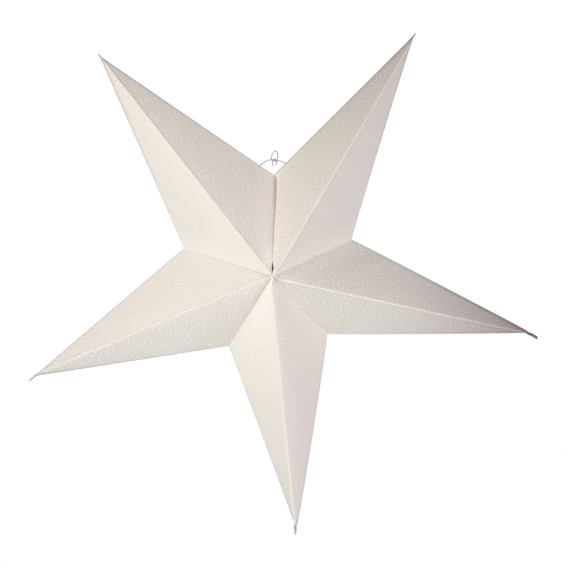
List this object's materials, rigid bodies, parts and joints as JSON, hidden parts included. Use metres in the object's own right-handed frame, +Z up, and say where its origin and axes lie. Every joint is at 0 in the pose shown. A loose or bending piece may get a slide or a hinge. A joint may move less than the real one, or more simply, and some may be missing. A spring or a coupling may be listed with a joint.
{
  "type": "paper star decoration",
  "caption": "Hollow pointed star of creased paper leaves glued along ridges and valleys, tied at its top notch and hung by a thin knotted cord loop.",
  "frame": {"origin": "inside the crown of the hanging loop, where a hook bears", "axes": "+Z up, +X to the right seen from the front, the star stands in the XZ plane and faces -Y"},
  "size_m": [0.6027, 0.1808, 0.5942],
  "materials": {
    "star_paper": "uncoated cream-white paper with a fine raised white pattern",
    "cord": "thin pale grey twisted cord"
  },
  "bodies": {
    "root": {"leaf_01": "star_paper", "leaf_02": "star_paper", "leaf_03": "star_paper", "leaf_04": "star_paper", "leaf_05": "star_paper", "leaf_06": "star_paper", "leaf_07": "star_paper", "leaf_08": "star_paper", "leaf_09": "star_paper", "leaf_10": "star_paper", "hanging_cord": "cord"}
  },
  "joints": []
}
